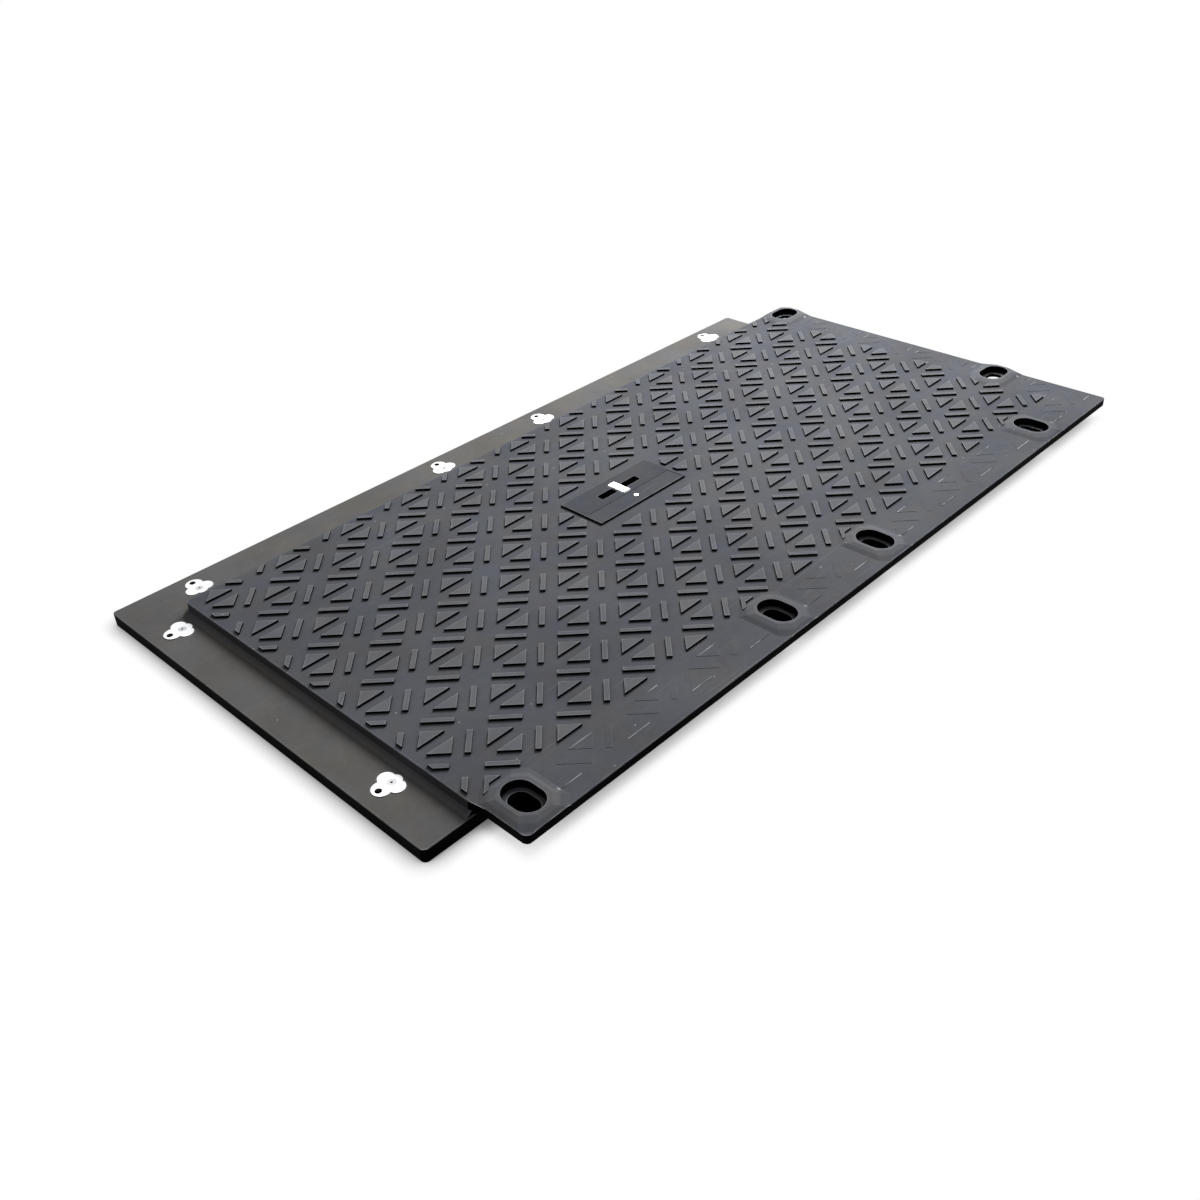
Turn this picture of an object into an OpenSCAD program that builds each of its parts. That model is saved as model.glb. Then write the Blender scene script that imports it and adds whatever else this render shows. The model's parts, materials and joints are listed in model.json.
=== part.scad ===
// Ground protection mat: one thick plastic moulding, two plates laid one on the other and set off
// to one corner, so that the upper plate laps over the next mat on two sides and the lower plate
// runs out under the next mat on the other two. Millimetres, +Z up, origin on the floor under the
// middle of the whole outline. X runs along the long side, the upper plate laps out at +X and -Y.

/* [Plates] */
// Length of each plate, which is also the length that one mat covers
plate_l = 4000; // [3750:10:5200]
// Width of each plate, which is also the width that one mat covers
plate_w = 2000; // [1850:10:2600]
// How far the plates are set off along the length
lap_x = 210; // [200:1:260]
// How far the plates are set off along the width
lap_y = 240; // [228:1:300]
// Thickness of the lower flanges
lower_t = 56; // [48:1:70]
// Thickness of the upper flanges
upper_t = 37; // [32:1:50]
// Play between an upper flange and the lower flange of the next mat
stack_gap = 15; // [6:0.5:20]
// How far the foot of the inner walls runs out over the lower flanges
foot_run = 24; // [12:0.5:34]
// How far the free end of each upper flange is set in from the wall beside it
end_in = 13.5; // [6:0.5:20]
// Length along which that end slants in
end_run = 55; // [20:1:90]
// Radius of the plates' corners in plan
corner_r = 26; // [18:1:60]
// Radius along the plates' edges
edge_r = 4.5; // [2:0.5:8]

/* [Tread] */
// Distance between two rows of the tread, half the distance between two cells of one row
tread_pitch = 167.5; // [155:0.5:195]
// Height of the tread above the plate
tread_h = 10; // [6:0.5:14]
// Base of each triangle
tri_base = 120; // [90:1:130]
// Height of each triangle, from its base to its point
tri_rise = 60; // [45:1:70]
// Distance between the bases of the two triangles of a cell
tri_gap = 47; // [28:1:60]
// Length of the slanting bars
bar_l = 117; // [90:1:130]
// Width of the slanting bars
bar_w = 21; // [14:0.5:26]
// How far the bars' middles lie before the cell's corner
bar_back = 27; // [18:1:35]
// How far the lower bar's middle lies below the cell's corner
bar_down = 107; // [98:0.5:118]
// How far the upper bar's middle lies above the cell's corner
bar_up = 63; // [54:0.5:74]
// Distance from the upper plate's left edge to the first cell's corner
tread_start = 50; // [22:0.5:88]
// Bare strip inside the left edge of the upper plate
tread_rim = 19; // [4:0.5:30]
// Bare strip inside the back edge of the upper plate
tread_rim_back = 25; // [4:0.5:34]
// How far the tread is cut back at the corner between those two edges
tread_corner = 76; // [72:1:110]
// How far the tread runs out over the two upper flanges
tread_out = 26; // [10:1:60]

/* [Lock slots and collars] */
// Distance from the upper plate's left edge to the first slot of the long side
slot_first = 125.5; // [120:0.5:180]
// Distance from the upper plate's right edge to the last slot of the long side
slot_last = 524.5; // [420:0.5:600]
// Distance between the two inner slots of the long side
slot_inner = 670; // [550:1:880]
// How far the inner slots' middle lies to the left of the plate's middle
slot_inner_back = 199.5; // [0:0.5:260]
// Distance from the upper plate's front edge to the first slot of the short side
slot_side_first = 564.5; // [400:0.5:580]
// Distance from the upper plate's back edge to the second slot of the short side
slot_side_last = 95.5; // [90:0.5:400]
// Distance from the long side's edge to the middle of its slots
slot_in_y = 132; // [126:0.5:145]
// Distance from the short side's edge to the middle of its slots
slot_in_x = 95; // [93:0.5:101]
// Width of a slot's mouth
mouth_w = 118; // [104:0.5:124]
// Length of a slot's mouth
mouth_l = 167; // [148:0.5:172]
// Width of the hole below the ledge
through_w = 84; // [68:0.5:92]
// Length of the hole below the ledge
through_l = 124; // [106:0.5:132]
// Depth of the ledge below the plate
ledge_depth = 20; // [12:0.5:26]
// Height of the collar's rim above the plate
collar_h = 15; // [11:0.5:20]
// Width of the collar's rim at its sides
rim_side = 14; // [9:0.5:18]
// Width of the collar's rim at its ends
rim_end = 12; // [9:0.5:13]
// How far each corner of the rim is cut back
rim_cut = 42; // [28:0.5:48]
// How far the collar's flank runs out
flank_run = 41; // [30:0.5:44]
// How far the tread runs up the side flanks of a collar
tread_up_side = 24; // [3:0.5:26]
// How far the tread runs up the end flanks of a collar
tread_up_end = 5; // [3:0.5:12]
// How far the tread runs up the corner flanks of a collar
tread_up_corner = 33; // [12:0.5:36]

/* [Lock plates] */
// Thickness of a lock plate
lock_t = 14; // [12:0.5:17]
// Depth of the seat that a lock plate lies in
lock_seat = 11; // [8:0.5:14]
// Play round a lock plate in its seat
lock_play = 0.5; // [0.3:0.1:1.5]
// Radius of the outer lobe
lobe_out_r = 36.5; // [32:0.5:40]
// Distance from the screw to the middle of the outer lobe
lobe_out_at = 42; // [36:0.5:46]
// Radius of the two side lobes
lobe_side_r = 31; // [27:0.5:33]
// Distance from the screw to the middle of each side lobe
lobe_side_at = 29; // [23:0.5:33]
// Radius of the inner lobe
lobe_in_r = 26.5; // [25:0.5:30]
// Distance from the screw to the middle of the inner lobe
lobe_in_at = 14.5; // [9:0.5:18]
// Distance from the middle of the slot of the next mat to the screw
lock_back = 16.5; // [12:0.5:22]
// Radius of the key hole in the outer lobe
key_r = 13; // [7:0.5:14]
// Distance from the screw to the key hole
key_at = 55.5; // [46:0.5:59]
// Depth of the key hole below the plate
key_depth = 12; // [6:0.5:18]
// Radius of the screw's head
head_r = 16.5; // [13:0.5:20]
// Thickness of the screw's head
head_t = 9; // [7:0.5:10]
// Radius of the screw's shank
shank_r = 8; // [6:0.5:10]
// Length of the screw under its head
shank_l = 30; // [20:0.5:36]
// Play round a screw's head and shank
screw_play = 0.3; // [0.2:0.05:0.8]
// Width of the socket in a screw's head, across its flats
socket_w = 9; // [6:0.5:13]
// Depth of the socket
socket_depth = 5.5; // [3:0.5:6]

/* [Middle panel] */
// Length of the raised panel
panel_l = 555; // [540:1:660]
// Width of the raised panel
panel_w = 251; // [220:1:290]
// Height of the raised panel above the plate
panel_h = 10; // [8:0.5:14]
// Place of the panel's middle along X
panel_x = -111; // [-260:1:130]
// Place of the panel's middle along Y
panel_y = 107; // [-130:1:260]
// Bare ground round the panel
panel_clear = 25; // [9:1:44]
// Length of the sunk band
band_l = 533; // [360:1:536]
// Width of the sunk band
band_w = 88; // [66:1:92]
// Depth of the sunk band
band_depth = 1.8; // [0.8:0.1:3.2]
// Distance from the panel's lower edge to the band
band_in = 7; // [4:0.5:9]
// Length of the lifting slot
lift_l = 249; // [200:1:290]
// Width of the lifting slot
lift_w = 40; // [30:0.5:56]
// Depth of the lifting slot below the plate
lift_depth = 68; // [40:0.5:76]
// Distance from the panel's lower edge to the middle of the lifting slot
lift_in = 157; // [156:0.5:160]
// Width of the lifting bar
lift_bar_w = 51; // [36:0.5:70]
// Length of the lifting bar
lift_bar_l = 111; // [92:0.5:112]
// Thickness of the lifting bar
lift_bar_t = 11; // [9:0.5:17]
// Depth of the bar's seat in the panel
lift_bar_seat = 7; // [4:0.5:8]
// Corner radius of the lifting bar
lift_bar_r = 11; // [4:0.5:17]
// Play round the lifting bar
lift_bar_play = 0.5; // [0.3:0.1:1.5]
// Radius of the stud's head
stud_r = 16.5; // [12:0.5:22]
// Height of the stud's head
stud_h = 5.5; // [3:0.5:9]

/* [Hidden] */
$fn = 48;
// Overlap of solids that are fused, and overshoot of cuts
eps = 1;

whole_l = plate_l + lap_x;
whole_w = plate_w + lap_y;
// The left, right, front and back edges of both plates
lower_x0 = -whole_l / 2;
lower_x1 = lower_x0 + plate_l;
lower_y1 = whole_w / 2;
lower_y0 = lower_y1 - plate_w;
upper_x1 = whole_l / 2;
upper_x0 = upper_x1 - plate_l;
upper_y0 = -whole_w / 2;
upper_y1 = upper_y0 + plate_w;
under_z = lower_t + stack_gap;
top_z = under_z + upper_t;

// Places of the slots: the middle and the turn of each, a turn of 0 runs along Y
inner_x = (upper_x0 + upper_x1) / 2 - slot_inner_back;
slot_xs = [upper_x0 + slot_first, inner_x - slot_inner / 2, inner_x + slot_inner / 2,
    upper_x1 - slot_last];
slot_ys = [upper_y0 + slot_side_first, upper_y1 - slot_side_last];
slot_places = concat(
    [for (x = slot_xs) [x, upper_y0 + slot_in_y, 0]],
    [for (y = slot_ys) [upper_x1 - slot_in_x, y, -90]]);
// Each lock plate lies where a slot of the next mat comes over it
lock_places = [for (p = slot_places)
    p[2] == 0 ? [p[0], p[1] + plate_w, 90] : [p[0] - plate_l, p[1], 180]];

rim_half_w = mouth_w / 2 + rim_side;
rim_half_l = mouth_l / 2 + rim_end;
rim_half_d = (rim_half_w + rim_half_l - rim_cut) / sqrt(2);
// A collar's foot is cut back at its corners as far as its rim, so its corner flanks run further
corner_run = sqrt(2) * flank_run;
ledge_z = top_z - ledge_depth;
lock_z = lower_t - lock_seat;
lock_top_z = lock_z + lock_t;
panel_top_z = top_z + panel_h;
// How far the feet's top line is cut back at the corner
foot_cut = 0.65 * corner_r;
panel_edge_y = panel_y - panel_w / 2;
band_z = panel_top_z - band_depth;
band_y = panel_edge_y + band_in + band_w / 2;
lift_y = panel_edge_y + lift_in;
lift_bar_z = panel_top_z - lift_bar_seat;

// A rectangle with round corners, made only of squares and circles
module round_square(l, w, r) {
    square([l - 2 * r, w], center = true);
    square([l, w - 2 * r], center = true);
    for (x = [-1, 1], y = [-1, 1])
        translate([x * (l / 2 - r), y * (w / 2 - r)])
            circle(r);
}

// A slot with round ends that runs along Y
module long_hole(w, l) {
    square([w, l - w], center = true);
    for (y = [-1, 1])
        translate([0, y * (l - w) / 2])
            circle(w / 2);
}

// A plate over its outline, with a radius along its edges. The outline is drawn round the origin
module soft_plate(x0, y0, z0, t) {
    translate([x0 + plate_l / 2, y0 + plate_w / 2, z0 + t / 2])
        intersection() {
            linear_extrude(t, center = true)
                children();
            rotate([90, 0, 90])
                linear_extrude(plate_l + eps, center = true)
                    round_square(plate_w, t, edge_r);
            rotate([90, 0, 0])
                linear_extrude(plate_w + eps, center = true)
                    round_square(plate_l, t, edge_r);
        }
}

// A rectangle with round corners between two of its corners
module round_between(low, high, r) {
    translate((low + high) / 2)
        round_square(high[0] - low[0], high[1] - low[1], r);
}

// The upper plate's outline round the origin: the free ends of its flanges slant in from the walls
module upper_outline() {
    left = -plate_l / 2;
    back = plate_w / 2;
    front = back - (plate_w - lap_y);
    end = left + plate_l - lap_x;
    round_between([left + end_in, -back], [-left, back - end_in], corner_r);
    round_between([left, front], [end, back], corner_r);
    polygon([[left, front + corner_r], [left + end_in, front - end_run],
        [left + 3 * corner_r, front - end_run], [left + 3 * corner_r, front + corner_r]]);
    polygon([[end - corner_r, back], [end + end_run, back - end_in],
        [end + end_run, back - 3 * corner_r], [end - corner_r, back - 3 * corner_r]]);
}

// The two plates, and the block between them where they lie over each other
module plates() {
    soft_plate(lower_x0, lower_y0, 0, lower_t)
        round_square(plate_l, plate_w, corner_r);
    soft_plate(upper_x0, upper_y0, under_z, upper_t)
        upper_outline();
    translate([(upper_x0 + lower_x1) / 2, (lower_y0 + upper_y1) / 2, lower_t / 2])
        linear_extrude(under_z + upper_t / 2 - lower_t / 2)
            round_square(lower_x1 - upper_x0, upper_y1 - lower_y0, corner_r);
}

// A sloping foot along a wall that runs along Y: its slope faces -X, its top line lies at X = 0
module foot() {
    reach = 2 * plate_l;
    translate([0, reach, lower_t])
        rotate([90, 0, 0])
            linear_extrude(2 * reach)
                polygon([[-foot_run * (1 + eps / stack_gap), -eps], [0, stack_gap],
                    [reach, stack_gap], [reach, -eps]]);
}

// The foot of the two inner walls, cut back at the corner where they meet
module wall_foot() {
    side = whole_l + whole_w;
    intersection() {
        translate([upper_x0, 0, 0])
            foot();
        translate([0, upper_y1, 0])
            rotate(-90)
                foot();
        translate([upper_x0, upper_y1, 0])
            rotate(-45)
                translate([foot_cut / sqrt(2), 0, 0])
                    foot();
        translate([lower_x1 - 2 * edge_r - side, lower_y0 + 2 * edge_r, 0])
            cube([side, side, top_z]);
    }
}

// One cell of the tread: two triangles base to base, and two slanting bars
module tread_cell() {
    polygon([[0, 0], [tri_base, 0], [tri_base / 2, tri_rise]]);
    polygon([[0, -tri_gap], [tri_base, -tri_gap], [tri_base / 2, -tri_gap - tri_rise]]);
    translate([-bar_back, -bar_down])
        rotate(-45)
            square([bar_l, bar_w], center = true);
    translate([-bar_back, bar_up])
        rotate(45)
            square([bar_l, bar_w], center = true);
}

// The ground that the tread covers: bare round the collars and the middle panel
module tread_ground() {
    bare_side = flank_run - tread_up_side;
    bare_end = flank_run - tread_up_end;
    bare_corner = corner_run - tread_up_corner;
    difference() {
        translate([upper_x0 + tread_rim, lower_y0 - tread_out])
            square([lower_x1 + tread_out - upper_x0 - tread_rim,
                upper_y1 - tread_rim_back - lower_y0 + tread_out]);
        translate([upper_x0, upper_y1])
            rotate(45)
                square(sqrt(2) * tread_corner, center = true);
        translate([panel_x, panel_y])
            square([panel_l + 2 * panel_clear, panel_w + 2 * panel_clear], center = true);
        for (p = slot_places)
            translate([p[0], p[1]])
                rotate(p[2])
                    intersection() {
                        square([2 * (rim_half_w + bare_side), 2 * (rim_half_l + bare_end)],
                            center = true);
                        rotate(45)
                            square(2 * (rim_half_d + bare_corner), center = true);
                    }
    }
}

// Cells lie on a lattice of rows, with every second row moved on by half a cell
module tread() {
    columns = ceil(plate_l / tread_pitch) + 1;
    rows = ceil(plate_w / tread_pitch) + 1;
    translate([0, 0, top_z - eps])
        linear_extrude(tread_h + eps)
            intersection() {
                tread_ground();
                for (i = [-1:columns], j = [-1:rows])
                    if ((i + j) % 2 == 0)
                        translate([upper_x0 + tread_start + i * tread_pitch,
                            lower_y0 + j * tread_pitch])
                            tread_cell();
            }
}

// A ridge that runs along Y, with sloping sides
module ridge(half_top, run, half_length) {
    foot = half_top + run * (collar_h + eps) / collar_h;
    translate([0, half_length, -eps])
        rotate([90, 0, 0])
            linear_extrude(2 * half_length)
                polygon([[-foot, 0], [foot, 0], [half_top, collar_h + eps], [-half_top, collar_h + eps]]);
}

// The raised collar round a slot: eight sloping flanks up to a flat rim
module collar() {
    far = 2 * (rim_half_l + flank_run);
    intersection() {
        ridge(rim_half_w, flank_run, far);
        rotate(90)
            ridge(rim_half_l, flank_run, far);
        rotate(45)
            ridge(rim_half_d, corner_run, far);
        rotate(-45)
            ridge(rim_half_d, corner_run, far);
    }
}

// All collars, ended where the upper plate ends
module collars() {
    intersection() {
        for (p = slot_places)
            translate([p[0], p[1], top_z])
                rotate(p[2])
                    collar();
        translate([(upper_x0 + upper_x1) / 2, (upper_y0 + upper_y1) / 2, under_z])
            linear_extrude(upper_t + 2 * collar_h)
                upper_outline();
    }
}

// One slot: a wide mouth down to a ledge, and a smaller hole on through the flange
module slot_cut() {
    translate([0, 0, ledge_z])
        linear_extrude(ledge_depth + collar_h + eps)
            long_hole(mouth_w, mouth_l);
    translate([0, 0, under_z - eps])
        linear_extrude(upper_t + eps)
            long_hole(through_w, through_l);
}

// The outline of a lock plate with its outer lobe towards +X, grown by a play
module lock_outline(play) {
    translate([lobe_out_at, 0])
        circle(lobe_out_r + play);
    translate([-lobe_in_at, 0])
        circle(lobe_in_r + play);
    for (y = [-1, 1])
        translate([0, y * lobe_side_at])
            circle(lobe_side_r + play);
}

// The seat of a lock plate, with its screw hole and key hole
module lock_cut() {
    translate([0, 0, lock_z])
        linear_extrude(lock_seat + eps)
            lock_outline(lock_play);
    translate([0, 0, lock_top_z - head_t - shank_l - screw_play])
        cylinder(h = shank_l, r = shank_r + screw_play);
    translate([key_at, 0, lock_z - key_depth])
        cylinder(h = key_depth + eps, r = key_r);
}

module at_lock(i) {
    p = lock_places[i];
    translate([p[0], p[1], 0])
        rotate(p[2])
            translate([-lock_back, 0, 0])
                children();
}

// The middle panel before its slot is cut
module panel() {
    translate([panel_x, panel_y, top_z - eps])
        linear_extrude(panel_h + eps)
            square([panel_l, panel_w], center = true);
}

module panel_cuts() {
    translate([panel_x, band_y, band_z])
        linear_extrude(band_depth + eps)
            square([band_l, band_w], center = true);
    translate([panel_x, lift_y, top_z - lift_depth])
        linear_extrude(lift_depth + panel_h + eps)
            round_square(lift_l, lift_w, lift_w / 4);
    translate([panel_x, lift_y, lift_bar_z])
        linear_extrude(lift_bar_seat + eps)
            round_square(lift_bar_w + 2 * lift_bar_play, lift_bar_l + 2 * lift_bar_play,
                lift_bar_r + lift_bar_play);
    translate([panel_x, band_y, band_z - shank_l - screw_play])
        cylinder(h = shank_l + screw_play + eps, r = shank_r + screw_play);
}

module mat() {
    color([0.36, 0.36, 0.38])
        difference() {
            union() {
                plates();
                wall_foot();
                tread();
                collars();
                panel();
            }
            for (p = slot_places)
                translate([p[0], p[1], 0])
                    rotate(p[2])
                        slot_cut();
            for (i = [0:len(lock_places) - 1])
                at_lock(i)
                    lock_cut();
            panel_cuts();
        }
}

module lock_plate(i) {
    color([0.88, 0.89, 0.9])
        at_lock(i)
            difference() {
                translate([0, 0, lock_z])
                    linear_extrude(lock_t)
                        lock_outline(0);
                translate([0, 0, lock_z - eps])
                    cylinder(h = lock_t + 2 * eps, r = shank_r + screw_play);
                translate([0, 0, lock_top_z - head_t])
                    cylinder(h = head_t + eps, r = head_r + screw_play);
                translate([key_at, 0, lock_z - eps])
                    cylinder(h = lock_t + 2 * eps, r = key_r);
            }
}

// A socket screw with its head's top at the height 0
module screw() {
    difference() {
        union() {
            translate([0, 0, -head_t])
                cylinder(h = head_t, r = head_r);
            translate([0, 0, -head_t - shank_l])
                cylinder(h = shank_l + eps, r = shank_r);
        }
        translate([0, 0, -socket_depth])
            cylinder(h = socket_depth + eps, r = socket_w / sqrt(3), $fn = 6);
    }
}

module lock_screw(i) {
    color([0.72, 0.73, 0.75])
        at_lock(i)
            translate([0, 0, lock_top_z])
                screw();
}

module lift_bar() {
    color([0.9, 0.91, 0.92])
        translate([panel_x, lift_y, lift_bar_z])
            linear_extrude(lift_bar_t)
                round_square(lift_bar_w, lift_bar_l, lift_bar_r);
}

module panel_stud() {
    color([0.9, 0.91, 0.92])
        translate([panel_x, band_y, band_z]) {
            cylinder(h = stud_h, r = stud_r);
            translate([0, 0, -shank_l])
                cylinder(h = shank_l + eps, r = shank_r);
        }
}

mat();
for (i = [0:len(lock_places) - 1]) {
    lock_plate(i);
    lock_screw(i);
}
lift_bar();
panel_stud();
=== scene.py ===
# %% [markdown]
# # A ground protection mat
# The real thing is a heavy plastic moulding of 4.2 by 2.2 metres. Its two plates are set off to
# one corner, so that mats lap over each other like tiles, and metal plates lock them together.
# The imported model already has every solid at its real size. This lesson gives each of them the
# finish of the real one, adds the relief that is too fine for the solids, and lights the whole.

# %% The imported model
import json
import math

import bmesh
import bpy
from mathutils import Matrix, Vector


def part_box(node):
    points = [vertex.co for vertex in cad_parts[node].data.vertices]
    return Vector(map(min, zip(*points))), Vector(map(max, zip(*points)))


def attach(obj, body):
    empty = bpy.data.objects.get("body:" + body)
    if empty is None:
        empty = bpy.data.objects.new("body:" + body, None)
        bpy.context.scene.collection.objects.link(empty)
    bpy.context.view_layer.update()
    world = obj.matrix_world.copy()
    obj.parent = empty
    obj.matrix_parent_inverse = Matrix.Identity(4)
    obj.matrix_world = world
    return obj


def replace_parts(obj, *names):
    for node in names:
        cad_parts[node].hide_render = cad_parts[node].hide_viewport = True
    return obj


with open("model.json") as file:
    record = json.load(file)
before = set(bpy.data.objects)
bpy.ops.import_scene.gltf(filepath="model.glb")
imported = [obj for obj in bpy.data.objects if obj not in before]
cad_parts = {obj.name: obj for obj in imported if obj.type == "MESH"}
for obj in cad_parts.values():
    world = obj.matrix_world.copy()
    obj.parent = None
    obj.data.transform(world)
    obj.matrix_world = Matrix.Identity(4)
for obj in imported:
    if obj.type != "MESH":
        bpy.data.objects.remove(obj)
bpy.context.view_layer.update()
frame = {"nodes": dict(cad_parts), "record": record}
nodes = frame["nodes"]
print("nodes:", sorted(nodes))

# %% [markdown]
# ## Sizes that the finishes need
# Blender works in metres, so a length in millimetres is multiplied by MM. The heights of the
# mat's steps can be read from its own corners: the collars' rims are the highest thing on it,
# and every other level lies a known step below them. The places in plan follow from the outline.

# %% Levels and edges of the mat
MM = 0.001
mat_low, mat_high = (Vector(corner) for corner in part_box("mat"))
collar_height = 15 * MM
tread_height = 10 * MM
panel_height = 10 * MM
plate_top = mat_high.z - collar_height
tread_top = plate_top + tread_height
panel_top = plate_top + panel_height
upper_thickness = 37 * MM
flange_gap = 15 * MM
flange_top = plate_top - upper_thickness - flange_gap
front_lap = 240 * MM
end_lap = 210 * MM
plate_left = mat_low.x + end_lap
plate_back = mat_high.y - front_lap
tread_front = mat_low.y + front_lap
tread_end = mat_high.x - end_lap
foot_run = 24 * MM
print("plate top", round(plate_top, 4), "lower flange top", round(flange_top, 4))

# %% [markdown]
# ## Small helpers for shader nodes
# A material is a graph of nodes. Building one in code is mostly making a node, setting a few of
# its sockets and linking it to the next, so a few short functions keep the graphs readable.
# Colours are written as they look on a screen, and turned into the linear values of the shaders.
# Two more give what many of the materials ask for: a noise, and how far a face looks up.

# %% Node helpers
def screen_colour(red, green, blue):
    channels = [value / 255 for value in (red, green, blue)]
    linear = [c / 12.92 if c <= 0.04045 else ((c + 0.055) / 1.055) ** 2.4 for c in channels]
    return (*linear, 1.0)


def add_node(tree, kind, settings=None, **inputs):
    node = tree.nodes.new(kind)
    for name, value in (settings or {}).items():
        setattr(node, name, value)
    for name, value in inputs.items():
        socket = node.inputs[name.replace("_", " ")]
        if isinstance(value, bpy.types.NodeSocket):
            tree.links.new(value, socket)
        else:
            socket.default_value = value
    return node


def calculate(tree, operation, first, second=0.0):
    node = tree.nodes.new("ShaderNodeMath")
    node.operation = operation
    for socket, value in zip(node.inputs, (first, second)):
        if isinstance(value, bpy.types.NodeSocket):
            tree.links.new(value, socket)
        else:
            socket.default_value = value
    return node.outputs[0]


def blend_colours(tree, amount, under, over, mode="MIX"):
    node = tree.nodes.new("ShaderNodeMix")
    node.data_type = "RGBA"
    node.blend_type = mode
    for index, value in ((0, amount), (6, under), (7, over)):
        if isinstance(value, bpy.types.NodeSocket):
            tree.links.new(value, node.inputs[index])
        else:
            node.inputs[index].default_value = value
    return node.outputs[2]


def ramp_between(tree, value, low, high, smooth=True):
    node = add_node(tree, "ShaderNodeMapRange",
                    {"interpolation_type": "SMOOTHSTEP" if smooth else "LINEAR"},
                    Value=value, From_Min=low, From_Max=high)
    return node.outputs[0]


def noise(tree, place, scale, detail, **more):
    return add_node(tree, "ShaderNodeTexNoise", Vector=place, Scale=scale, Detail=detail,
                    **more).outputs["Fac"]


def upward_share(tree):
    normal = add_node(tree, "ShaderNodeNewGeometry").outputs["Normal"]
    return add_node(tree, "ShaderNodeSeparateXYZ", Vector=normal).outputs["Z"]


def start_material(name):
    material = bpy.data.materials.new(name)
    material.use_nodes = True
    tree = material.node_tree
    shader = tree.nodes["Principled BSDF"]
    place = add_node(tree, "ShaderNodeTexCoord").outputs["Object"]
    return material, tree, shader, place


print("sRGB 128 is", round(screen_colour(128, 128, 128)[0], 3), "in linear light")

# %% [markdown]
# ## Groups for the effects that several finishes share
# The plastic is paled along its edges, partly as wear and partly as a painted highlight, and
# plastic and zinc alike are darkened in their inner corners, partly as dirt and partly as painted
# shade. Both also carry a grain and fine scratches. Each of these is one node group, used with
# other values in each material. A group only gives out masks and heights, and the shader stays in
# the material.

# %% A helper that starts a group
def start_group(name, inputs, outputs):
    group = bpy.data.node_groups.new(name, "ShaderNodeTree")
    for label, kind, value in inputs:
        socket = group.interface.new_socket(label, in_out="INPUT", socket_type=kind)
        if value is not None:
            socket.default_value = value
    for label, kind in outputs:
        group.interface.new_socket(label, in_out="OUTPUT", socket_type=kind)
    entry = group.nodes.new("NodeGroupInput")
    leave = group.nodes.new("NodeGroupOutput")
    return group, entry.outputs, leave.inputs


def use_group(tree, group, **inputs):
    node = tree.nodes.new("ShaderNodeGroup")
    node.node_tree = group
    for name, value in inputs.items():
        socket = node.inputs[name]
        if isinstance(value, bpy.types.NodeSocket):
            tree.links.new(value, socket)
        else:
            socket.default_value = value
    return node.outputs


# %% [markdown]
# Pale edges, partly wear and partly a painted highlight: rays sent into the solid from a point
# near a sharp edge soon meet the other face. The ambient occlusion node can look inwards like
# that, which finds outer edges and leaves inner corners alone. A noise breaks the line up, since
# no edge wears evenly. Looking outwards, the same node finds the inner corners, which are darkened
# there, partly as dirt and partly as painted shade.

# %% Pale edges and dark corners, from wear, dirt and painted light
def make_edge_wear_and_highlight():
    group, given, out = start_group(
        "edge wear",
        [("Place", "NodeSocketVector", None), ("Reach", "NodeSocketFloat", 0.004),
         ("Patchiness", "NodeSocketFloat", 30.0)],
        [("Mask", "NodeSocketFloat")])
    # Inward ambient occlusion: a mask for pale edges, partly wear and partly painted highlight.
    inwards = add_node(group, "ShaderNodeAmbientOcclusion", {"samples": 6, "inside": True},
                       Distance=given["Reach"]).outputs["AO"]
    edge = ramp_between(group, inwards, 0.92, 0.45)
    patches = noise(group, given["Place"], given["Patchiness"], 3.0)
    group.links.new(calculate(group, "MULTIPLY", edge, ramp_between(group, patches, 0.25, 0.6)),
                    out["Mask"])
    return group


def make_corner_dirt_and_shade():
    group, given, out = start_group(
        "corner dirt",
        [("Place", "NodeSocketVector", None), ("Reach", "NodeSocketFloat", 0.03)],
        [("Mask", "NodeSocketFloat")])
    # Outward ambient occlusion: a mask that darkens inner corners, partly as dirt and partly as
    # painted shade.
    outwards = add_node(group, "ShaderNodeAmbientOcclusion", {"samples": 6},
                        Distance=given["Reach"]).outputs["AO"]
    corner = ramp_between(group, outwards, 0.95, 0.3)
    cloud = noise(group, given["Place"], 14.0, 4.0)
    group.links.new(calculate(group, "MULTIPLY", corner, ramp_between(group, cloud, 0.1, 0.7)),
                    out["Mask"])
    return group


edge_wear_and_highlight = make_edge_wear_and_highlight()
corner_dirt_and_shade = make_corner_dirt_and_shade()
print("groups:", edge_wear_and_highlight.name, "and", corner_dirt_and_shade.name)

# %% [markdown]
# Scratches: a noise that is stretched along one direction and cut to its thin crests looks like
# a set of fine parallel scratches. Two sets at different angles look like years of traffic. The
# turn and the stretch sit in Mapping nodes, so the same group serves a mat and a small plate.

# %% Scratches and grain
def make_scratches():
    group, given, out = start_group(
        "scratches",
        [("Place", "NodeSocketVector", None), ("Scale", "NodeSocketFloat", 8.0)],
        [("Mask", "NodeSocketFloat")])
    masks = []
    for turn, stretch in ((0.5, 0.03), (-0.9, 0.06)):
        mapping = add_node(group, "ShaderNodeMapping", Vector=given["Place"],
                           Rotation=(0.0, 0.0, turn), Scale=(stretch, 1.0, 1.0))
        lines = noise(group, mapping.outputs[0],
                      calculate(group, "MULTIPLY", given["Scale"], 12.0), 5.0)
        masks.append(ramp_between(group, lines, 0.64, 0.72))
    group.links.new(calculate(group, "MAXIMUM", *masks), out["Mask"])
    return group


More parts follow.
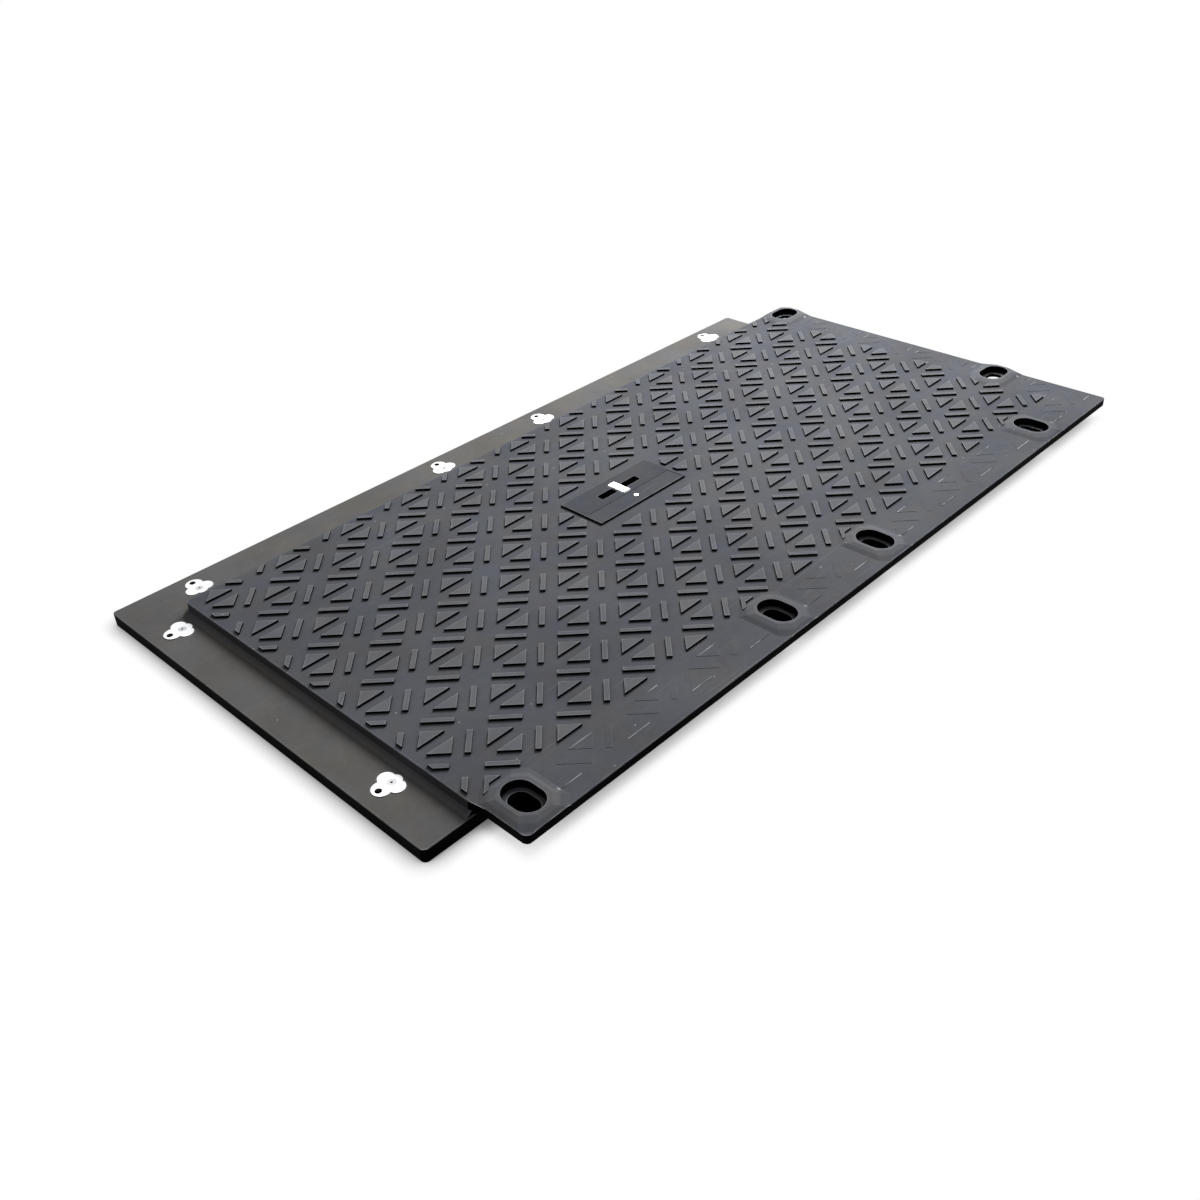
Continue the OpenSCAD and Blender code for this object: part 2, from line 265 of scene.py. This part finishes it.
def make_grain():
    group, given, out = start_group(
        "moulded grain",
        [("Place", "NodeSocketVector", None), ("Scale", "NodeSocketFloat", 500.0)],
        [("Height", "NodeSocketFloat")])
    fine = noise(group, given["Place"], given["Scale"], 2.0)
    coarse = noise(group, given["Place"], calculate(group, "MULTIPLY", given["Scale"], 0.08), 2.0)
    group.links.new(calculate(group, "ADD", fine, calculate(group, "MULTIPLY", coarse, 0.8)),
                    out["Height"])
    return group


def add_grain(tree, shader, place, scale, strength, depth):
    bumps = use_group(tree, grain, Place=place, Scale=scale)["Height"]
    relief = add_node(tree, "ShaderNodeBump", Strength=strength, Distance=depth, Height=bumps)
    tree.links.new(relief.outputs[0], shader.inputs["Normal"])


scratches = make_scratches()
grain = make_grain()
print("groups:", scratches.name, "and", grain.name)

# %% [markdown]
# ## The mat's plastic
# Fresh from the mould the plastic is black. What has seen feet, tracks and sun is grey: the
# faces that look up, and most of all the tops of the tread. So the graph starts from black, and
# lays grey over it where the surface looks up: lighter grey above the plate's own level, darker
# on the panel, and slightly warm on the lower flanges. The sides stay black, which is partly the
# black plastic and partly painted shade on the faces that don't look up. The walls over the lower
# flanges are painted a lighter grey, as painted light that bounces up from the flanges. Clouds,
# tints, scratches and specks then break each tone up.

# %% Tones of the plastic
# Black of the plastic, also used as painted shade on the sides and in inner corners.
black_and_shade = screen_colour(7, 7, 8)
plate_grey = screen_colour(75, 76, 80)
tread_grey = screen_colour(86, 87, 90)
panel_grey = screen_colour(65, 66, 70)
flange_grey = screen_colour(87, 86, 85)
# Lighter grey for the inner walls over the lower flanges: painted light bouncing up from the
# flanges.
wall_bounce_grey = screen_colour(62, 62, 64)
# Pale grey for scratches and worn edges, and for the painted highlight along edges.
worn_and_highlight_grey = screen_colour(150, 151, 153)
dust_pale = screen_colour(190, 190, 192)
panel_middle = Vector((-111 * MM, 107 * MM, 0.0))
panel_half = Vector((278.5 * MM, 126.5 * MM, 0.0))
edge_wear_and_highlight_share = 0.7
tread_wear_and_highlight_less = 0.42


def within(tree, value, middle, half):
    distance = calculate(tree, "ABSOLUTE", calculate(tree, "SUBTRACT", value, middle))
    return calculate(tree, "LESS_THAN", distance, half)


def on_inner_walls(tree, across, along, height):
    near_left = calculate(tree, "LESS_THAN", across, plate_left + 2 * foot_run)
    past_front = calculate(tree, "GREATER_THAN", along, tread_front + foot_run)
    near_back = calculate(tree, "GREATER_THAN", along, plate_back - 2 * foot_run)
    before_end = calculate(tree, "LESS_THAN", across, tread_end - foot_run)
    left = calculate(tree, "MULTIPLY", near_left, past_front)
    back = calculate(tree, "MULTIPLY", near_back, before_end)
    above = calculate(tree, "GREATER_THAN", height, flange_top + MM)
    below = calculate(tree, "LESS_THAN", height, plate_top)
    return calculate(tree, "MULTIPLY", calculate(tree, "MAXIMUM", left, back),
                     calculate(tree, "MULTIPLY", above, below))


def plastic_tones(tree, place):
    across, along, height = add_node(tree, "ShaderNodeSeparateXYZ", Vector=place).outputs
    on_plate = ramp_between(tree, height, flange_top + 0.2 * flange_gap, flange_top + flange_gap)
    on_tread = ramp_between(tree, height, plate_top + 0.6 * tread_height, tread_top)
    on_panel = calculate(tree, "MULTIPLY", within(tree, across, panel_middle.x, panel_half.x),
                         within(tree, along, panel_middle.y, panel_half.y))
    grey = blend_colours(tree, on_plate, flange_grey, plate_grey)
    raised_grey = blend_colours(tree, on_panel, tread_grey, panel_grey)
    grey = blend_colours(tree, on_tread, grey, raised_grey)
    # Inner walls over the lower flanges get the lighter grey: painted bounce light.
    inner_wall = on_inner_walls(tree, across, along, height)
    # Side colour: black plastic and painted shade, lighter on the inner walls as painted bounce
    # light.
    painted_side_tones = blend_colours(tree, inner_wall, black_and_shade, wall_bounce_grey)
    # How strongly the edges are paled, as wear and painted highlight; less on the tread's tops.
    wear_and_highlight = calculate(tree, "SUBTRACT", edge_wear_and_highlight_share,
                     calculate(tree, "MULTIPLY", on_tread, tread_wear_and_highlight_less))
    return grey, painted_side_tones, ramp_between(tree, upward_share(tree), 0.25, 0.9), wear_and_highlight


def scattered_specks(tree, place):
    cells = add_node(tree, "ShaderNodeTexVoronoi", Vector=place, Scale=26.0)
    chosen = add_node(tree, "ShaderNodeSeparateColor", Color=cells.outputs["Color"])
    small = ramp_between(tree, cells.outputs["Distance"], 0.09, 0.05)
    return calculate(tree, "MULTIPLY", small,
                     calculate(tree, "GREATER_THAN", chosen.outputs["Red"], 0.9))


# %% The plastic's material
dark_cloud = (0.87, 0.87, 0.88, 1.0)
pale_cloud = (1.17, 1.17, 1.16, 1.0)
cool_tint = (0.975, 0.99, 1.045, 1.0)
warm_tint = (1.025, 1.005, 0.965, 1.0)
scratch_share = 0.05
speck_share = 0.5
dirt_and_shade_share = 0.4
dirt_and_shade_reach = 20 * MM
plastic_shine = 0.005
plastic_grain = (420.0, 0.25, 0.6 * MM)


def tinted(tree, mask, colour, low_tint, high_tint):
    return blend_colours(tree, mask, blend_colours(tree, 1.0, colour, low_tint, "MULTIPLY"),
                         blend_colours(tree, 1.0, colour, high_tint, "MULTIPLY"))


def make_mat_plastic(name, edge_reach):
    material, tree, shader, place = start_material(name)
    grey, painted_side_tones, looks_up, wear_and_highlight = plastic_tones(tree, place)
    clouds = noise(tree, place, 2.6, 5.0, Roughness=0.6)
    mottle = noise(tree, place, 38.0, 4.0)
    tone = calculate(tree, "ADD", ramp_between(tree, clouds, 0.3, 0.7),
                     calculate(tree, "MULTIPLY", mottle, 0.8))
    shade = ramp_between(tree, tone, 0.2, 1.6, smooth=False)
    grey = tinted(tree, shade, grey, dark_cloud, pale_cloud)
    tint = ramp_between(tree, noise(tree, place, 6.5, 2.0), 0.35, 0.65)
    grey = tinted(tree, tint, grey, cool_tint, warm_tint)
    rubbed = use_group(tree, scratches, Place=place, Scale=5.0)["Mask"]
    grey = blend_colours(tree, calculate(tree, "MULTIPLY", rubbed, scratch_share),
                         grey, worn_and_highlight_grey)
    specks = calculate(tree, "MULTIPLY", scattered_specks(tree, place), speck_share)
    grey = blend_colours(tree, specks, grey, dust_pale)
    # Faces that don't look up take the side colour: black plastic and painted shade.
    colour = blend_colours(tree, looks_up, painted_side_tones, grey)
    # Inner corners darkened towards black: partly dirt, partly painted shade.
    dirt_and_shade = use_group(tree, corner_dirt_and_shade, Place=place, Reach=dirt_and_shade_reach)["Mask"]
    colour = blend_colours(tree, calculate(tree, "MULTIPLY", dirt_and_shade, dirt_and_shade_share),
                           colour, black_and_shade)
    # Pale edges on faces that look up: partly wear, partly painted highlight.
    worn_and_lit = use_group(tree, edge_wear_and_highlight, Place=place, Reach=edge_reach, Patchiness=18.0)["Mask"]
    worn_and_lit = calculate(tree, "MULTIPLY", worn_and_lit, calculate(tree, "MULTIPLY", looks_up, wear_and_highlight))
    colour = blend_colours(tree, worn_and_lit, colour, worn_and_highlight_grey)
    tree.links.new(colour, shader.inputs["Base Color"])
    rough = add_node(tree, "ShaderNodeMapRange", Value=tone, From_Min=0.2, From_Max=1.6,
                     To_Min=0.56, To_Max=0.44).outputs[0]
    tree.links.new(rough, shader.inputs["Roughness"])
    shader.inputs["Specular IOR Level"].default_value = plastic_shine
    add_grain(tree, shader, place, *plastic_grain)
    return material


def make_flash_plastic():
    material, tree, shader, place = start_material("flash_plastic")
    patches = noise(tree, place, 11.0, 3.0)
    # Paler patches on the flash: partly wear, partly painted highlight.
    seen = calculate(tree, "MULTIPLY", ramp_between(tree, patches, 0.4, 0.62), 0.75)
    tree.links.new(blend_colours(tree, seen, plate_grey, worn_and_highlight_grey), shader.inputs["Base Color"])
    tree.links.new(ramp_between(tree, patches, 1.0, 0.0), shader.inputs["Roughness"])
    shader.inputs["Specular IOR Level"].default_value = plastic_shine
    add_grain(tree, shader, place, *plastic_grain)
    return material


mat_plastic = make_mat_plastic("mat_plastic", 9 * MM)
relief_plastic = make_mat_plastic("relief_plastic", 0.5 * MM)
flash_plastic = make_flash_plastic()
print("material", mat_plastic.name, "has", len(mat_plastic.node_tree.nodes), "nodes")

# %% [markdown]
# ## The zinc of the lock plates, screws, bar and stud
# The fittings are steel with a bright zinc coat. Zinc forms faint crystals, which a Voronoi
# pattern gives in the roughness and a little in the colour. Faces that don't look up are painted a
# darker grey than the tops, as painted shade, and inner corners are darkened, partly as dirt and
# partly as painted shade. The same material with other values serves the screws, which are a
# darker grey, so one function makes both.

# %% Zinc materials
# Darker grey for zinc faces that don't look up: painted shade.
zinc_side_shade = screen_colour(120, 121, 124)
# Colour that darkens the zinc's inner corners: partly dirt, partly painted shade.
zinc_dirt_and_shade = screen_colour(90, 89, 86)
plate_zinc = (screen_colour(238, 238, 238), screen_colour(222, 223, 225))
screw_zinc = (screen_colour(204, 205, 207), screen_colour(184, 185, 188))


def make_zinc(name, bright, dull, roughness):
    material, tree, shader, place = start_material(name)
    crystals = add_node(tree, "ShaderNodeTexVoronoi", Vector=place, Scale=140.0)
    flake = add_node(tree, "ShaderNodeSeparateColor", Color=crystals.outputs["Color"]).outputs[0]
    colour = blend_colours(tree, flake, bright, dull)
    rubbed = use_group(tree, scratches, Place=place, Scale=40.0)["Mask"]
    colour = blend_colours(tree, calculate(tree, "MULTIPLY", rubbed, 0.3), colour, dull)
    # Inner corners of the zinc darkened: partly dirt, partly painted shade.
    dirt_and_shade = use_group(tree, corner_dirt_and_shade, Place=place, Reach=6 * MM)["Mask"]
    colour = blend_colours(tree, calculate(tree, "MULTIPLY", dirt_and_shade, 0.8), colour, zinc_dirt_and_shade)
    # Faces that don't look up are painted darker: painted shade.
    looks_up = ramp_between(tree, upward_share(tree), 0.85, 0.98)
    colour = blend_colours(tree, looks_up, zinc_side_shade, colour)
    tree.links.new(colour, shader.inputs["Base Color"])
    rough = calculate(tree, "ADD", roughness, calculate(tree, "MULTIPLY", flake, 0.12))
    tree.links.new(rough, shader.inputs["Roughness"])
    shader.inputs["Metallic"].default_value = 0.8
    add_grain(tree, shader, place, scale=900.0, strength=0.15, depth=0.2 * MM)
    return material


zinc_plate = make_zinc("zinc_plate", *plate_zinc, roughness=0.42)
screw_steel = make_zinc("screw_steel", *screw_zinc, roughness=0.38)
print("materials:", zinc_plate.name, "and", screw_steel.name)

# %% [markdown]
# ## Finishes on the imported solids
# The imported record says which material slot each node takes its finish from, so a loop over the
# record gives every node its material. The meshes themselves stay as they are.

# %% Materials on the nodes
finishes = {"mat_plastic": mat_plastic, "zinc_plate": zinc_plate, "screw_steel": screw_steel}
for part in frame["record"]["subparts"]:
    mesh = nodes[part["node"]].data
    mesh.materials.clear()
    mesh.materials.append(finishes[part["material_slot"]])

# %% [markdown]
# ## The shallow tread on the lapping flanges
# On the two flanges that lap over the next mat, the tread goes on as a relief of about a
# millimetre: the mould is closed there with flush inserts, and their outlines show. The solids
# leave it out. A bump in the shader would have no edge to catch the light, so it is a mesh: the
# tread's own triangles and bars as flat faces, cut to each flange with bisect_plane, and then
# extruded to their small height. Along the bases of the triangles the inserts leave a thin line
# of flash, a little higher than the rest, which is a second mesh. Its paler patches are partly
# wear and partly a painted highlight.

# %% Sizes of the tread
row_pitch = 167.5 * MM
tread_start = 50 * MM
first_cell = Vector((plate_left + tread_start, tread_front, 0.0))
triangle_base = 120 * MM
triangle_rise = 60 * MM
triangle_gap = 47 * MM
bar_length = 117 * MM
bar_width = 21 * MM
bar_places = (((-27 * MM, -107 * MM), -45), ((-27 * MM, 63 * MM), 45))
relief_height = 1.2 * MM
sunk = 0.5 * MM
flash_height = 1.4 * MM
flash_width = 4 * MM
flash_length = triangle_base - 8 * MM
tread_runs_out = 26 * MM
bare_border = 34 * MM


def add_triangle(mesh, corner, rise):
    points = ((0, 0), (triangle_base, 0), (triangle_base / 2, rise))
    mesh.faces.new([mesh.verts.new(corner + Vector((x, y, 0))) for x, y in points])


def add_rectangle(mesh, middle, length, width, turn=0):
    made = bmesh.ops.create_grid(mesh, x_segments=1, y_segments=1, size=0.5)["verts"]
    bmesh.ops.scale(mesh, verts=made, vec=(length, width, 1))
    bmesh.ops.rotate(mesh, verts=made, matrix=Matrix.Rotation(math.radians(turn), 3, "Z"))
    bmesh.ops.translate(mesh, verts=made, vec=middle)


def add_cell(mesh, corner):
    add_triangle(mesh, corner, triangle_rise)
    add_triangle(mesh, corner + Vector((0, -triangle_gap, 0)), -triangle_rise)
    for place, turn in bar_places:
        add_rectangle(mesh, corner + Vector((*place, 0)), bar_length, bar_width, turn)


def add_flash(mesh, corner):
    for inward in (flash_width / 2, -triangle_gap - flash_width / 2):
        middle = corner + Vector((triangle_base / 2, inward, 0))
        add_rectangle(mesh, middle, flash_length, flash_width)


print("a cell is", round(2 * row_pitch, 3), "m along a row")

# %% [markdown]
# A face that would hang into a slot's mouth is left out. The middle of each slot is known from
# the lock plates: each plate lies where a slot of the next mat comes over it, so a slot is one
# plate's length or width away from a lock plate's screw.

# %% Slots on the two flanges
cover_length = mat_high.x - plate_left
cover_width = plate_back - mat_low.y
slot_from_screw = 16.5 * MM
long_side_slots = 4
all_slots = 6
mouth_half = Vector((73 * MM, 98 * MM))


def middle_of(node):
    low, high = (Vector(corner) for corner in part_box(node))
    return (low + high) / 2


def slot_places():
    for number in range(1, all_slots + 1):
        screw = middle_of(f"lock_screw_{number}")
        if number <= long_side_slots:
            yield screw.x, screw.y + slot_from_screw - cover_width, mouth_half.x, mouth_half.y
        else:
            yield screw.x - slot_from_screw + cover_length, screw.y, mouth_half.y, mouth_half.x


slots = list(slot_places())
print("slots at", [(round(x, 3), round(y, 3)) for x, y, *_ in slots])


# %% Turning a bmesh into a piece
def mesh_object(mesh, name, finish):
    data = bpy.data.meshes.new(name)
    mesh.to_mesh(data)
    mesh.free()
    made = bpy.data.objects.new(name, data)
    bpy.context.collection.objects.link(made)
    data.materials.append(finish)
    return made


def add_piece(mesh, name, finish):
    bmesh.ops.recalc_face_normals(mesh, faces=mesh.faces[:])
    piece = mesh_object(mesh, name, finish)
    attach(piece, "root")
    print(name, "has", len(piece.data.polygons), "faces")
    return piece


# %% Cutting and raising the relief
def over_a_slot(face):
    points = [corner.co for corner in face.verts] + [face.calc_center_median()]
    return any(abs(p.x - x) < half_x and abs(p.y - y) < half_y
               for p in points for x, y, half_x, half_y in slots)


def keep_between(mesh, low, high):
    cuts = ((low, (-1, 0, 0)), (low, (0, -1, 0)), (high, (1, 0, 0)), (high, (0, 1, 0)))
    for point, outward in cuts:
        everything = mesh.verts[:] + mesh.edges[:] + mesh.faces[:]
        bmesh.ops.bisect_plane(mesh, geom=everything, plane_co=point, plane_no=outward,
                               clear_outer=True)


def shallow_tread(name, low, high, add_shapes, height, finish):
    mesh = bmesh.new()
    columns = range(-1, math.ceil(cover_length / row_pitch) + 2)
    rows = range(-3, math.ceil(cover_width / row_pitch) + 1)
    for column in columns:
        for row in rows:
            if (column + row) % 2 == 0:
                add_shapes(mesh, first_cell + Vector((column * row_pitch, row * row_pitch, 0)))
    keep_between(mesh, low, high)
    bmesh.ops.delete(mesh, geom=[f for f in mesh.faces if over_a_slot(f)], context="FACES")
    bmesh.ops.translate(mesh, verts=mesh.verts[:], vec=(0, 0, plate_top - sunk))
    raised = bmesh.ops.extrude_face_region(mesh, geom=mesh.faces[:], use_keep_orig=True)["geom"]
    tops = [part for part in raised if isinstance(part, bmesh.types.BMVert)]
    bmesh.ops.translate(mesh, verts=tops, vec=(0, 0, height + sunk))
    add_piece(mesh, name, finish)


front_area = (Vector((plate_left + bare_border, mat_low.y + bare_border, 0)),
              Vector((mat_high.x - bare_border, tread_front - tread_runs_out, 0)))
end_area = (Vector((tread_end + tread_runs_out, tread_front - tread_runs_out, 0)),
            Vector((mat_high.x - bare_border, plate_back - bare_border, 0)))
for place, area in (("front", front_area), ("end", end_area)):
    shallow_tread(f"shallow_tread_{place}", *area, add_cell, relief_height, relief_plastic)
    shallow_tread(f"flash_lines_{place}", *area, add_flash, flash_height, flash_plastic)

# %% [markdown]
# ## The lifting bar and the stud
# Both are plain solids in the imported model. The real ones have softer shapes, so each is modelled
# again in its place: the bar as a slab with rounded corners and slopes down from a smaller top,
# which an inset makes, and the stud as a low dome, spun from the half profile of its head.

# %% Lifting bar
bar_low, bar_high = (Vector(corner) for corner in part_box("lift_bar"))
slope_width = 5.5 * MM
slope_low = Vector((bar_high.x, bar_high.y, panel_top))
bar_corner_radius = 11 * MM
bar_mesh = bmesh.new()
bmesh.ops.create_cube(bar_mesh, size=1.0)
bmesh.ops.scale(bar_mesh, verts=bar_mesh.verts[:], vec=slope_low - bar_low)
bmesh.ops.translate(bar_mesh, verts=bar_mesh.verts[:], vec=(bar_low + slope_low) / 2)
upright = [e for e in bar_mesh.edges if abs(e.verts[0].co.z - e.verts[1].co.z) > MM]
bmesh.ops.bevel(bar_mesh, geom=upright, offset=bar_corner_radius, offset_type="OFFSET",
                segments=8, profile=0.5, affect="EDGES", material=-1, clamp_overlap=True)
top_faces = [f for f in bar_mesh.faces if f.calc_center_median().z > slope_low.z - 0.1 * MM]
bmesh.ops.inset_region(bar_mesh, faces=top_faces, thickness=slope_width, use_even_offset=True)
for corner in {v for f in top_faces for v in f.verts}:
    corner.co.z = bar_high.z
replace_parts(add_piece(bar_mesh, "lifting_bar", zinc_plate), "lift_bar")

# %% Stud
stud_low, stud_high = (Vector(corner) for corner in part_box("panel_stud"))
stud_middle = (stud_low + stud_high) / 2
band_depth = 1.8 * MM
head_low = panel_top - band_depth
head_radius = 12.5 * MM
shank_radius = 8 * MM
rim_height = 2 * MM
shoulder = Vector((1.5 * MM, 4 * MM))
crown = Vector((6 * MM, 0.3 * MM))
profile = ((0, stud_low.z), (shank_radius, stud_low.z), (shank_radius, head_low),
           (head_radius, head_low), (head_radius, head_low + rim_height),
           (head_radius - shoulder.x, head_low + shoulder.y),
           (head_radius - crown.x, stud_high.z - crown.y), (0, stud_high.z))
stud_mesh = bmesh.new()
points = [stud_mesh.verts.new(Vector((stud_middle.x + r, stud_middle.y, z))) for r, z in profile]
line = [stud_mesh.edges.new(pair) for pair in zip(points, points[1:])]
bmesh.ops.spin(stud_mesh, geom=points + line, cent=Vector((stud_middle.x, stud_middle.y, 0)),
               axis=(0, 0, 1), angle=2 * math.pi, steps=32, use_merge=True, use_duplicate=False)
bmesh.ops.remove_doubles(stud_mesh, verts=stud_mesh.verts[:], dist=0.01 * MM)
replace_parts(add_piece(stud_mesh, "stud", zinc_plate), "panel_stud")

# %% [markdown]
# ## Floor, light and background
# The floor is white where the camera or a reflection sees it, and fades to grey where the mat
# hides the sky from it: a painted shadow in the floor's own glow. The ambient occlusion node
# measures that, with a long reach for the floor under the lapping flanges, and with a short one
# for the band along the lower plate's foot. Well inside the upper plate's outline the floor is
# painted black, a painted shadow, so that the slots look dark. To light that bounces it is dark
# grey, so that it doesn't brighten the mat's black sides from below. The world is white to the
# camera in the same way, and a soft fill to everything else. One soft sun from behind the mat
# leaves the near sides dark, and one large panel lamp hangs over the far end.

# %% A switch between what is seen and what gives light
def seen_or_mirrored(tree):
    path = add_node(tree, "ShaderNodeLightPath").outputs
    mirrored = calculate(tree, "MAXIMUM", path["Is Glossy Ray"], path["Is Transmission Ray"])
    return calculate(tree, "MAXIMUM", path["Is Camera Ray"], mirrored)


lap_reach = 250 * MM
foot_reach = 75 * MM
deep_inset = 90 * MM
deep_fade = 45 * MM
bounce_grey = (0.12, 0.12, 0.12, 1)


def openness(tree, reach):
    return add_node(tree, "ShaderNodeAmbientOcclusion", {"samples": 16},
                    Distance=reach).outputs["AO"]


def shade_by(tree, value, closed, clear, darkest):
    return add_node(tree, "ShaderNodeMapRange", Value=value, From_Min=closed, From_Max=clear,
                    To_Min=darkest, To_Max=1.0).outputs[0]


def deep_between(tree, value, low, high):
    distance = calculate(tree, "ABSOLUTE", calculate(tree, "SUBTRACT", value, (low + high) / 2))
    edge = (high - low) / 2 - deep_inset
    return ramp_between(tree, distance, edge, edge - deep_fade)


def make_floor_paint():
    material, tree, shader, place = start_material("floor_paint")
    tree.nodes.remove(shader)
    across, along, _ = add_node(tree, "ShaderNodeSeparateXYZ", Vector=place).outputs
    under_lap = shade_by(tree, openness(tree, lap_reach), 0.12, 0.52, darkest=0.27)
    at_foot = shade_by(tree, openness(tree, foot_reach), 0.5, 0.98, darkest=0.36)
    # Painted shadow: the floor goes black well inside the upper plate's outline.
    under_mat = calculate(tree, "MULTIPLY", deep_between(tree, across, plate_left, mat_high.x),
                          deep_between(tree, along, mat_low.y, plate_back))
    shade = calculate(tree, "MULTIPLY", calculate(tree, "MULTIPLY", at_foot, under_lap),
                      calculate(tree, "SUBTRACT", 1.0, under_mat))
    white = add_node(tree, "ShaderNodeEmission", Color=(1, 1, 1, 1), Strength=shade).outputs[0]
    dark = add_node(tree, "ShaderNodeBsdfDiffuse", Color=bounce_grey).outputs[0]
    switch = tree.nodes.new("ShaderNodeMixShader")
    tree.links.new(seen_or_mirrored(tree), switch.inputs[0])
    tree.links.new(dark, switch.inputs[1])
    tree.links.new(white, switch.inputs[2])
    tree.links.new(switch.outputs[0], tree.nodes["Material Output"].inputs["Surface"])
    return material


# %% Floor
floor_reach = 60.0
floor_mesh = bmesh.new()
bmesh.ops.create_grid(floor_mesh, x_segments=1, y_segments=1, size=floor_reach)
mesh_object(floor_mesh, "floor", make_floor_paint())
print("floor of", 2 * floor_reach, "m")

# %% World and sun
fill_level = 0.36
sun_level = 0.42
world = bpy.data.worlds.new("studio")
world.use_nodes = True
world_tree = world.node_tree
background = world_tree.nodes["Background"]
background.inputs["Color"].default_value = (1, 1, 1, 1)
white_share = calculate(world_tree, "MULTIPLY", seen_or_mirrored(world_tree), 1.0 - fill_level)
level = calculate(world_tree, "ADD", white_share, fill_level)
world_tree.links.new(level, background.inputs["Strength"])
bpy.context.scene.world = world

sun_heading = math.radians(15)
sun_height = math.radians(48)
sun_light = bpy.data.lights.new("large_soft_lamp", "SUN")
sun_light.energy = math.pi * sun_level / math.sin(sun_height)
sun_light.angle = math.radians(18)
sun = bpy.data.objects.new("large_soft_lamp", sun_light)
towards_sun = Vector((math.cos(sun_heading) * math.cos(sun_height),
                      math.sin(sun_heading) * math.cos(sun_height), math.sin(sun_height)))
sun.rotation_euler = towards_sun.to_track_quat("Z", "Y").to_euler()
bpy.context.collection.objects.link(sun)
print("sun strength", round(sun_light.energy, 2), "fill", fill_level)

# %% Panel lamp
panel_light = bpy.data.lights.new("panel_lamp", "AREA")
panel_light.shape = "SQUARE"
panel_light.size = 2.5
panel_light.energy = 430
panel_lamp = bpy.data.objects.new("panel_lamp", panel_light)
panel_lamp.location = (3.4, 1.6, 3.6)
far_end = Vector((1.4, 0.3, 0.0))
panel_lamp.rotation_euler = (panel_lamp.location - far_end).to_track_quat("Z", "Y").to_euler()
bpy.context.collection.objects.link(panel_lamp)
print("panel lamp of", panel_light.energy, "W,", panel_light.size, "m wide")

# %% [markdown]
# ## Camera
# The tread is a square lattice, so the photograph's camera could be worked out from it: where it
# stands, where it looks, how it is rolled, and its lens. The turn is built from the direction of
# the view and the two directions across it, tipped by the roll.

# %% Camera
camera_place = Vector((-3.5534, -3.1919, 2.8178))
camera_heading = math.radians(45.3973)
camera_down = math.radians(34.6806)
camera_roll = math.radians(3.0628)

forward = Vector((math.cos(camera_heading) * math.cos(camera_down),
                  math.sin(camera_heading) * math.cos(camera_down), -math.sin(camera_down)))
level_right = forward.cross(Vector((0, 0, 1))).normalized()
level_up = level_right.cross(forward)
right = level_right * math.cos(camera_roll) - level_up * math.sin(camera_roll)
up = level_up * math.cos(camera_roll) + level_right * math.sin(camera_roll)
camera_data = bpy.data.cameras.new("camera")
camera_data.sensor_width = 36.0
camera_data.lens = 36.235
camera_data.clip_end = 200.0
camera = bpy.data.objects.new("camera", camera_data)
camera.location = camera_place
camera.rotation_euler = Matrix((right, up, -forward)).transposed().to_euler()
bpy.context.collection.objects.link(camera)
bpy.context.scene.camera = camera
bpy.context.scene.view_settings.view_transform = "Standard"
print("camera at", tuple(round(v, 3) for v in camera.location))
